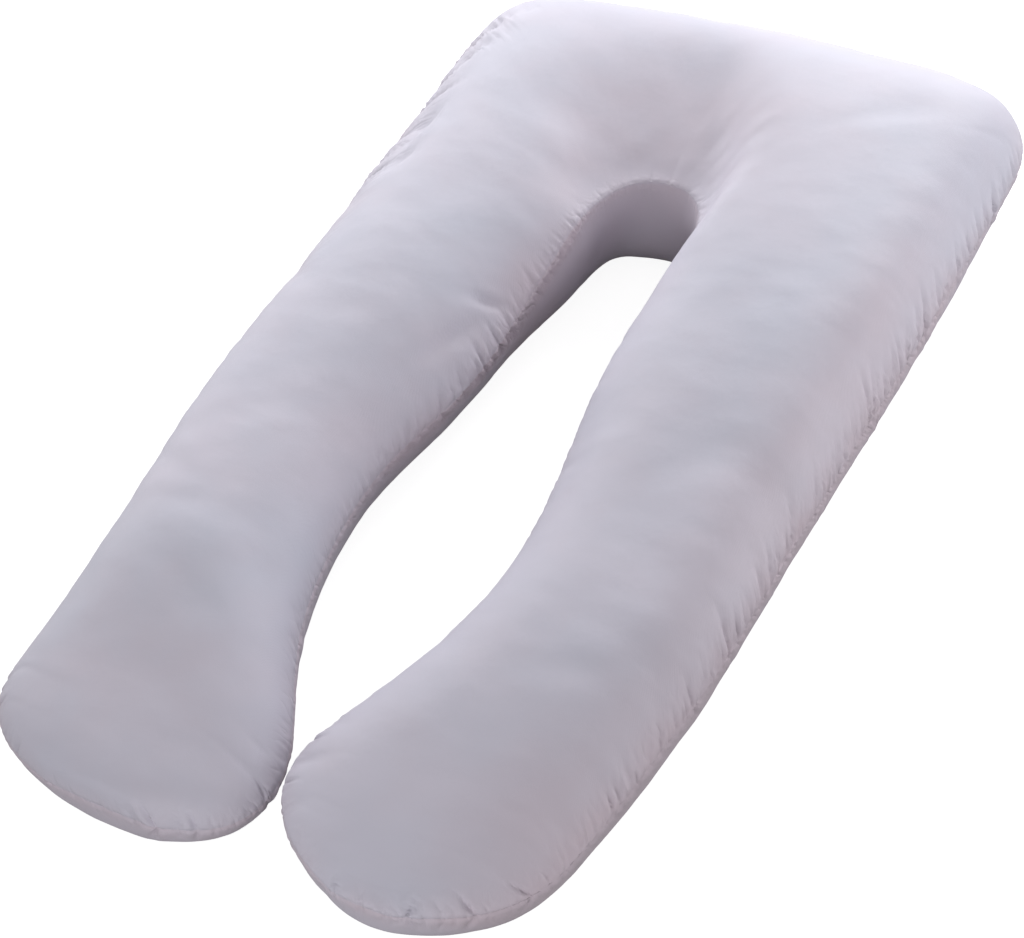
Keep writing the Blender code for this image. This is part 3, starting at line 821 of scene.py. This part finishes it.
def crimps_round(run, away, panel, length):
    """Each point's place on a ring round the seam, which has a metre for each crimp so that its
    ends meet and rises with how far in the point is, and how high the crimps are there."""
    places = [c.run for c in CRIMPS]

    def here(name, where):
        return np.interp(where, places, [getattr(c, name) for c in CRIMPS], period=length)

    steps = np.linspace(0.0, length, COUNTING_STEPS)
    counted = np.concatenate(([0.0], np.cumsum(np.diff(steps) / here("apart", steps[1:]))))
    radius = counted[-1] / (2 * math.pi)
    slanted = (run - here("slant", run) * away) % length
    turn = np.interp(slanted, steps, counted) / radius
    inward = away / here("reach", run)
    rise = inward * CRIMP_CHANGE
    ring = np.stack([radius * np.cos(turn), radius * np.sin(turn), rise], axis=1)
    height = here("height", run) * np.where(panel < 0, here("under", run), 1.0)
    return ring, height * np.clip(1 - inward, 0.0, 1.0)**CRIMP_FADE


def crimped_by(ring, height, away):
    """How far the crimps sink the cloth at each point. Noise on the ring makes no two alike, and
    slower noise gathers them in clusters."""
    sunk = np.zeros(len(away))
    for k in np.flatnonzero(height > 0):
        place = Vector(ring[k])
        tuck = max(0.0, 1 - abs(noise.noise(place)) * CRIMP_NARROWNESS)
        cluster = CLUSTER_MEAN + CLUSTER_VARIES * noise.noise(place * CLUSTERED)
        cluster = min(max(cluster, CLUSTER_WEAKEST), CLUSTER_STRONGEST)
        sunk[k] = height[k] * (tuck - CRIMP_SWELL) * cluster
    return sunk * np.minimum(1.0, SEAM_HOLD + away / DEEPEST)


def grouped_puckers(groups, rng):
    """The puckers of every group, each a little different from its neighbours."""
    puckers = []
    for g in groups:
        run = g.start
        while run < g.stop:
            strength = rng.uniform(*STRENGTHS)**STRENGTH_CURVE
            width = g.width * rng.uniform(*WIDTHS)
            reach = g.reach * (SHORTEST + (1 - SHORTEST) * strength) * rng.uniform(*REACHES)
            slant = g.slant + rng.uniform(*SLANTS)
            puckers.append(Pucker(run, width, g.depth * strength, reach, slant,
                                  rng.uniform(*UNDERS)))
            run += g.step * rng.uniform(*STEPS)
    return puckers


def sunk_by(puckers, seam_length, run, away, panel):
    """How far the puckers sink the cloth at each point. Beside a pucker it swells a little."""
    sunk = np.zeros(len(run))
    for p in puckers:
        beside = run - p.run - p.slant * away
        beside = (beside + seam_length / 2) % seam_length - seam_length / 2
        near = (np.abs(beside) < p.width * PUCKER_SPAN) & (away < p.reach)
        u = beside[near] / (p.width * (1 + SPREAD * away[near]))
        crease = np.sqrt(u * u + SLIT_BLUNTNESS) - math.sqrt(SLIT_BLUNTNESS)
        slit = np.exp(-SLIT_STEEPNESS * crease)
        swell = SWELL * np.exp(-(u / SWELL_WIDTH)**2)
        fade = (1 - away[near] / p.reach)**PUCKER_FADE
        held = SEAM_HOLD + (1 - SEAM_HOLD) * np.clip(away[near] / DEEPEST, 0.0, 1.0)
        side = np.where(panel[near] >= 0, 1.0, p.under)
        sunk[near] += p.depth * (slit - swell) * fade * held * side / SLIT_LESS_SWELL
    return sunk


# Shallow dents in the upper panel, where the filling has settled. turn is the way that a dent
# runs, in degrees from across the pillow.
Dent = namedtuple("Dent", "x y turn length width depth")
DENTS = (
    Dent(0.318, 0.575, -38, 0.080, 0.032, 0.0024),  # the right leg
    Dent(0.262, 0.600, 50, 0.060, 0.022, 0.0022),
    Dent(0.250, 0.452, -62, 0.070, 0.024, 0.0020),
    Dent(0.345, 0.420, -20, 0.060, 0.022, 0.0016),
    Dent(0.300, 0.345, -15, 0.055, 0.020, 0.0014),
    Dent(0.235, 0.300, 20, 0.070, 0.018, 0.0012),
    Dent(0.330, 0.760, -70, 0.080, 0.028, 0.0018),
    Dent(0.200, 0.830, 60, 0.090, 0.030, 0.0020),
    Dent(-0.300, 0.385, -25, 0.050, 0.016, 0.0020),  # the left leg
    Dent(-0.240, 0.330, 10, 0.060, 0.018, 0.0016),
    Dent(-0.190, 0.250, -30, 0.070, 0.020, 0.0018),
    Dent(-0.120, 0.300, -55, 0.060, 0.022, 0.0016),
    Dent(-0.230, 0.480, 35, 0.070, 0.020, 0.0012),
    Dent(-0.330, 0.700, -35, 0.070, 0.018, 0.0018),
    Dent(-0.250, 0.640, 15, 0.060, 0.020, 0.0012),
    Dent(-0.360, 0.860, -50, 0.060, 0.020, 0.0020),
    Dent(-0.333, 0.990, 84, 0.055, 0.010, 0.0100),  # the folds at the left corner
    Dent(-0.320, 0.925, 76, 0.030, 0.009, 0.0080),
    Dent(-0.347, 1.165, 65, 0.030, 0.009, 0.0080),
    Dent(-0.117, 0.685, 76, 0.045, 0.007, 0.0060),  # the folds inside the left leg
    Dent(-0.108, 0.757, 45, 0.020, 0.006, 0.0050),
    Dent(0.230, 1.180, 40, 0.060, 0.026, 0.0024),  # the closed end
    Dent(-0.060, 1.200, -60, 0.070, 0.030, 0.0020),
)
# The filling is uneven all over: how far apart its lumps are, and how high.
LUMPS = ((0.085, 0.0012), (0.040, 0.0008), (0.020, 0.0003))
LUMPS_FROM = 7.3            # where the noise behind them is read
LUMPS_FULL = 0.03           # how far in from the seam they are full


def dented_by(points, panel):
    """How deep the dents are at each point."""
    x, y = in_plan(points)
    depth = np.zeros(len(points))
    for d in DENTS:
        turn = math.radians(d.turn)
        along = (x - d.x) * math.cos(turn) + (y - d.y) * math.sin(turn)
        across = (y - d.y) * math.cos(turn) - (x - d.x) * math.sin(turn)
        depth += d.depth * np.exp(-(along / d.length)**2 - (across / d.width)**2)
    return depth * np.clip(panel, 0.0, 1.0)


def lumpy_by(points, away):
    """How far the uneven filling sinks the cloth at each point. The seam keeps its place."""
    sunk = np.zeros(len(points))
    for apart, height in LUMPS:
        places = points / apart + LUMPS_FROM
        sunk += height * np.array([noise.noise(Vector(place)) for place in places])
    return sunk * np.clip(away / LUMPS_FULL, 0.0, 1.0)


AT_SEAM = 1e-5              # nearer than this is on the seam itself
SLIDE_WITHIN = 0.024        # how near the seam the mesh is drawn together
SLIDE_CURVE = 0.7           # 1 to leave it as it is
GROOVE_DEPTH = 0.0014       # of the stitched line, and its width
GROOVE_WIDTH = 0.0022


def draw_to_seam(points, seam, run, away):
    """Draw the mesh beside the seam closer to it, so that the stitched line can be sharp."""
    near = (away > AT_SEAM) & (away < SLIDE_WITHIN)
    closed = np.vstack([seam.points, seam.points[:1]])
    foot = np.array([np.interp(run[near], seam.runs, closed[:, axis]) for axis in range(3)]).T
    share = (away[near] / SLIDE_WITHIN)**SLIDE_CURVE
    points[near] = foot + (points[near] - foot) * share[:, None]


# ---------------------------------------------------------------------------------------------
# The cover

LAVENDER = (0.545, 0.545, 0.640, 1.0)
LILAC = (0.590, 0.560, 0.650, 1.0)
# Rose grey is darker and rosier than the lavender. Mixed in, it paints shade at the gathers, on
# the lower panel and in patches, and the small clouds also vary the cloth's own tone with it.
ROSE_GREY_TONE_AND_SHADE = (0.575, 0.490, 0.555, 1.0)
THREAD = 0.0011             # from one thread of the weave to the next
THREAD_HEIGHT = 0.00003
THREAD_TURN = 2 * math.pi / THREAD
UPRIGHT_THREADS = 0.6       # how the weave goes on down the sides
RIPPLE_HEIGHT = 0.0007      # of the soft unevenness of the cloth itself
GATHERED_HEIGHT = 0.0044    # of the crimps where the painted rosy shade is strongest
SHARP_CRIMPS = 0.60         # the height of the sharp lines between the crimps, to the crimps'
RIB = 0.5                   # how much the warp stands out over the weft
# How many clouds there are to a metre of cloth, and how finely they are broken up.
BROAD_CLOUDS = (5.0, 3.0)
SMALL_CLOUDS = (17.0, 4.0)
NAP_CLOUDS = (9.0, 5.0)
NAP_STRETCH = (1.0, 0.45, 1.0)
RIPPLE_CLOUDS = (26.0, 4.0)
TUCK_CLOUDS = (0.9, 1.0)    # counted by the crimp, not by the metre
CLOUD_MEAN = 0.5
TUCK_SHARPNESS = 6.0
# The share of lilac in the lavender: how much the broad clouds vary it, and what they lose first.
LILAC_VARIES, LILAC_LOSES = 2.2, 0.6
# The share of rose grey painted as shade at the gathers and in the patches, without clouds and
# with them, then as painted shade on the lower panel, and how much the small clouds vary it
# everywhere as the cloth's own tone.
GATHERS_PAINTED_SHADE, GATHERS_SHADE_CLOUDED = 0.3, 1.2
PATCHES_PAINTED_SHADE, PATCHES_SHADE_CLOUDED = 0.4, 1.2
LOWER_PANEL_PAINTED_SHADE = 0.4
ROSE_VARIES = 0.4
ROUGHNESS, NAP_ROUGHNESS, GATHERED_ROUGHNESS = 0.50, 0.16, 0.06
SPECULAR = 0.35
SHEEN, SHEEN_ROUGHNESS = 0.12, 0.4

# Where rosy shade is painted on the cloth, as places in plan.
Patch = namedtuple("Patch", "x y length width strength")
ROSY_SHADE_PATCHES = (
    Patch(0.290, 0.140, 0.10, 0.08, 0.60),  # the right foot
    Patch(0.340, 0.300, 0.14, 0.05, 0.45),  # the right side
    Patch(0.330, 0.600, 0.20, 0.05, 0.50),
    Patch(0.335, 0.900, 0.14, 0.04, 0.50),
    Patch(-0.170, 0.130, 0.09, 0.12, 0.35),  # the left foot
    Patch(0.000, 1.120, 0.10, 0.14, 0.50),  # the front of the closed end
    Patch(-0.120, 0.560, 0.16, 0.05, 0.35),  # inside the left leg
    Patch(-0.115, 0.960, 0.08, 0.05, 0.30),  # beside the arch
    Patch(-0.092, 0.800, 0.10, 0.024, 0.60),
)


def painted_rosy_shade_at(points):
    """How strong the patches' painted rosy shade is at each point."""
    x, y = in_plan(points)
    rosy = np.zeros(len(points))
    for p in ROSY_SHADE_PATCHES:
        rosy += p.strength * np.exp(-((y - p.y) / p.length)**2 - ((x - p.x) / p.width)**2)
    return rosy


def satin_cotton():
    """Satin cotton in a light lavender grey, faintly clouded, with rosy shade painted at its
    gathers, on its lower panel and in patches.
    """
    m = Maker("satin cotton")
    place = m.node("TexCoord").outputs["Object"]
    apart = m.node("SeparateXYZ", {}, {"Vector": place})
    x, y, z = (Value(m, apart.outputs[k]) for k in range(3))
    # gathered marks the crimps' gathers, and side marks the lower panel. Both carry painted rosy
    # shade, and gathered also roughens the cloth.
    gathered = m.attribute("gathered")
    side = m.attribute("side")

    clouds = m.noise(place, *BROAD_CLOUDS)
    small_clouds = m.noise(place, *SMALL_CLOUDS)
    lilac = clouds * LILAC_VARIES - LILAC_LOSES
    colour = m.mixed(lilac.kept_to_one(), LAVENDER, LILAC)
    # Painted rosy shade: rose grey is laid on at the gathers, on the lower panel and in the
    # patches, where the cloth lies in shade. The small clouds add rose to the cloth's own tone.
    rosy = gathered * (GATHERS_PAINTED_SHADE + small_clouds * GATHERS_SHADE_CLOUDED) + side * LOWER_PANEL_PAINTED_SHADE
    rosy = rosy + (small_clouds - CLOUD_MEAN) * ROSE_VARIES
    rosy = rosy + m.attribute("rosy") * (PATCHES_PAINTED_SHADE + clouds * PATCHES_SHADE_CLOUDED)
    colour = m.mixed(rosy.kept_to_one(), colour, ROSE_GREY_TONE_AND_SHADE)
    m.plug(m.shader.inputs["Base Color"], colour)

    nap = m.noise(place, *NAP_CLOUDS, NAP_STRETCH)
    roughness = ROUGHNESS + nap * NAP_ROUGHNESS + gathered * GATHERED_ROUGHNESS
    m.plug(m.shader.inputs["Roughness"], roughness)

    warp = ((x + z * UPRIGHT_THREADS) * THREAD_TURN).wave()
    weft = ((y + z * UPRIGHT_THREADS) * THREAD_TURN).wave()
    threads = (warp * weft + warp * RIB) * THREAD_HEIGHT
    ripples = m.noise(place, *RIPPLE_CLOUDS) * RIPPLE_HEIGHT
    ring = m.node("Attribute", {"attribute_name": "crimp_place"}).outputs["Vector"]
    tucks = (m.noise(ring, *TUCK_CLOUDS) - CLOUD_MEAN).size()
    sharp_lines = (tucks * TUCK_SHARPNESS).kept_to_one() * m.attribute("crimp_height")
    relief = threads + ripples + sharp_lines
    bump = m.node("Bump", {}, {"Strength": 1.0, "Distance": 1.0, "Height": relief})
    m.plug(m.shader.inputs["Normal"], bump.outputs[0])

    m.plug(m.shader.inputs["Specular IOR Level"], SPECULAR)
    m.plug(m.shader.inputs["Sheen Weight"], SHEEN)
    m.plug(m.shader.inputs["Sheen Roughness"], SHEEN_ROUGHNESS)
    return m.material


def write_attribute(mesh, name, values):
    """One number or vector a vertex, for the cloth's material."""
    single = values.ndim == 1
    layer = mesh.attributes.new(name, "FLOAT" if single else "FLOAT_VECTOR", "POINT")
    layer.data.foreach_set("value" if single else "vector", values.ravel())


PANEL_MARK = 1e-4           # a smaller mark than this is the seam's own


def panel_of(mesh):
    """1 on the upper panel, -1 on the lower one, and 0 on the seam between them."""
    values = np.empty(len(mesh.vertices))
    mesh.attributes["panel"].data.foreach_get("value", values)
    return np.sign(np.where(np.abs(values) < PANEL_MARK, 0.0, values))


WEIGHT_STEPS = 20


def weigh(thing, name, weights):
    """A vertex group with a weight for each vertex."""
    group = thing.vertex_groups.new(name=name)
    for level in range(1, WEIGHT_STEPS + 1):
        members = np.flatnonzero(np.round(weights * WEIGHT_STEPS) == level)
        if len(members):
            group.add([int(v) for v in members], level / WEIGHT_STEPS, "REPLACE")
    return group.name


CLOTH_FRAMES = 20
CLOTH = {
    "quality": 6,
    "mass": 0.15,
    "tension_stiffness": 25.0,
    "compression_stiffness": 25.0,
    "shear_stiffness": 8.0,
    "bending_stiffness": 0.05,
    "tension_damping": 15.0,
    "compression_damping": 15.0,
    "shear_damping": 10.0,
    "air_damping": 4.0,
    "use_pressure": True,
    "uniform_pressure_force": 4.0,
    "shrink_min": 0.0,
    "shrink_max": -0.09,    # cut that much longer, as a share, than the seam that gathers it
}
EXTRA_CLOTH_REACH = 0.07    # how far in from the seam the cloth is cut longer
BASE = 0.002                # lower than this, the cloth lies on the floor
AT_REST = 1e-9              # the cloth that moves less doesn't move
CLOTH_CAP = 0.012           # how far the cloth may move from the shape that it starts from
# It moves freely up to 0.6 of SWELL_REACH in from the seam, and at 1.6 of it no more.
SWELL_REACH, SWELL_FADE = 0.08, 1.6
# Where the cloth is held back so that it stays smooth: how far from the place it swells fully,
# the share of that distance where it begins to, and the share of its swelling that is left there.
Calm = namedtuple("Calm", "distance begins left")
ARCH_CALM = Calm(0.220, 0.35, 0.05)
FEET_CALM = Calm(0.180, 0.3, 0.2)
CORNER_CALM = Calm(0.300, 0.4, 0.25)
RIGHT_CORNER = (0.360, 1.330)   # the closed end's, where CORNER_CALM is measured from


def swelling_left(calm, distance):
    """The share of its swelling that the cloth keeps at each distance from a calm place."""
    grown = smooth_step(calm.begins * calm.distance, calm.distance, distance)
    return calm.left + (1 - calm.left) * grown


def blow_up(cover, away):
    """Let the cloth swell over its filling, while the seam and the base are held."""
    start = vectors(cover.data.vertices)
    held = (away < AT_SEAM) | (start[:, 2] < BASE)
    near_seam = np.clip(1 - away / EXTRA_CLOTH_REACH, 0.0, 1.0)
    pin = weigh(cover, "held", held.astype(float))
    extra = weigh(cover, "extra", near_seam)
    cloth = cover.modifiers.new("Cloth", "CLOTH")
    for name, value in CLOTH.items():
        setattr(cloth.settings, name, value)
    cloth.settings.vertex_group_mass = pin
    cloth.settings.vertex_group_shrink = extra
    cloth.settings.effector_weights.gravity = 0.0
    cloth.collision_settings.use_collision = False
    cloth.point_cache.frame_start = 1
    cloth.point_cache.frame_end = CLOTH_FRAMES
    for number in range(1, CLOTH_FRAMES + 1):
        bpy.context.scene.frame_set(number)
    after = vectors(applied(cover).vertices)
    cover.modifiers.clear()
    cover.vertex_groups.clear()
    bpy.context.scene.frame_set(1)
    moved = after - start
    far = np.linalg.norm(moved, axis=1)
    limit = np.minimum(1.0, CLOTH_CAP / np.maximum(far, AT_REST))
    limit *= np.clip(SWELL_FADE - away / SWELL_REACH, 0.0, 1.0)
    x, y = in_plan(start)
    limit *= swelling_left(ARCH_CALM, arch_distance(x, y))
    limit *= swelling_left(FEET_CALM, y)
    from_corner = np.linalg.norm(np.stack([x, y], axis=1) - RIGHT_CORNER, axis=1)
    limit *= swelling_left(CORNER_CALM, from_corner)
    put_on_floor(cover.data, start + moved * limit[:, None])


def sink(cover, depths):
    """Sink every point of the cover by its depth."""
    vertices = cover.data.vertices
    put_on_floor(cover.data, vectors(vertices) - vectors(vertices, "normal") * depths[:, None])


def sharpen_seam(mesh):
    """Keep the shading of the two panels apart at the seam."""
    sharp = mesh.attributes.new("sharp_edge", "BOOLEAN", "EDGE")
    sharp.data.foreach_set("value", on_seam(mesh))


SEED = 7


def make_cover():
    """The whole cover: its panels, the cloth run, and then everything pressed into them."""
    rng = np.random.default_rng(SEED)
    soft_folds = grouped_puckers(SOFT_FOLDS, rng)
    fine_puckers = grouped_puckers(FINE_PUCKERS, rng) + list(SLITS)
    cover = placed("cover", cover_cage())
    subdivide(cover, 2)
    points = vectors(cover.data.vertices)
    panel = panel_of(cover.data)
    seam = Seam(cover.data)
    run, away = seam.measure(points)
    sag(points, panel, away)
    put_points(cover.data, points)
    sink(cover, sunk_by(soft_folds, seam.length, run, away, panel))
    blow_up(cover, away)
    subdivide(cover, 1)
    points = vectors(cover.data.vertices)
    seam = Seam(cover.data)
    run, away = seam.measure(points)
    draw_to_seam(points, seam, run, away)
    put_points(cover.data, points)
    run, away = seam.measure(points)
    panel = panel_of(cover.data)
    groove = GROOVE_DEPTH * np.exp(-(away / GROOVE_WIDTH)**2)
    sink(cover, dented_by(points, panel) + lumpy_by(points, away))
    ring, height = crimps_round(run, away, panel, seam.length)
    sink(cover, crimped_by(ring, height, away))
    sink(cover, sunk_by(fine_puckers, seam.length, run, away, panel) + groove)
    write_attribute(cover.data, "crimp_place", ring)
    write_attribute(cover.data, "crimp_height", height * SHARP_CRIMPS)
    # The gathers, the patches and the lower panel carry painted rosy shade into the material.
    write_attribute(cover.data, "gathered", np.minimum(height / GATHERED_HEIGHT, 1.0))
    write_attribute(cover.data, "rosy", painted_rosy_shade_at(points))
    write_attribute(cover.data, "side", np.clip(-panel, 0.0, 1.0))
    cover.data.shade_smooth()
    sharpen_seam(cover.data)
    cover.data.materials.append(satin_cotton())
    return cover


bpy.context.scene.view_settings.view_transform = "Standard"
set_camera()
set_lights()
lay_floor()
cover = make_cover()
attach(cover, "root")
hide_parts("pillow")
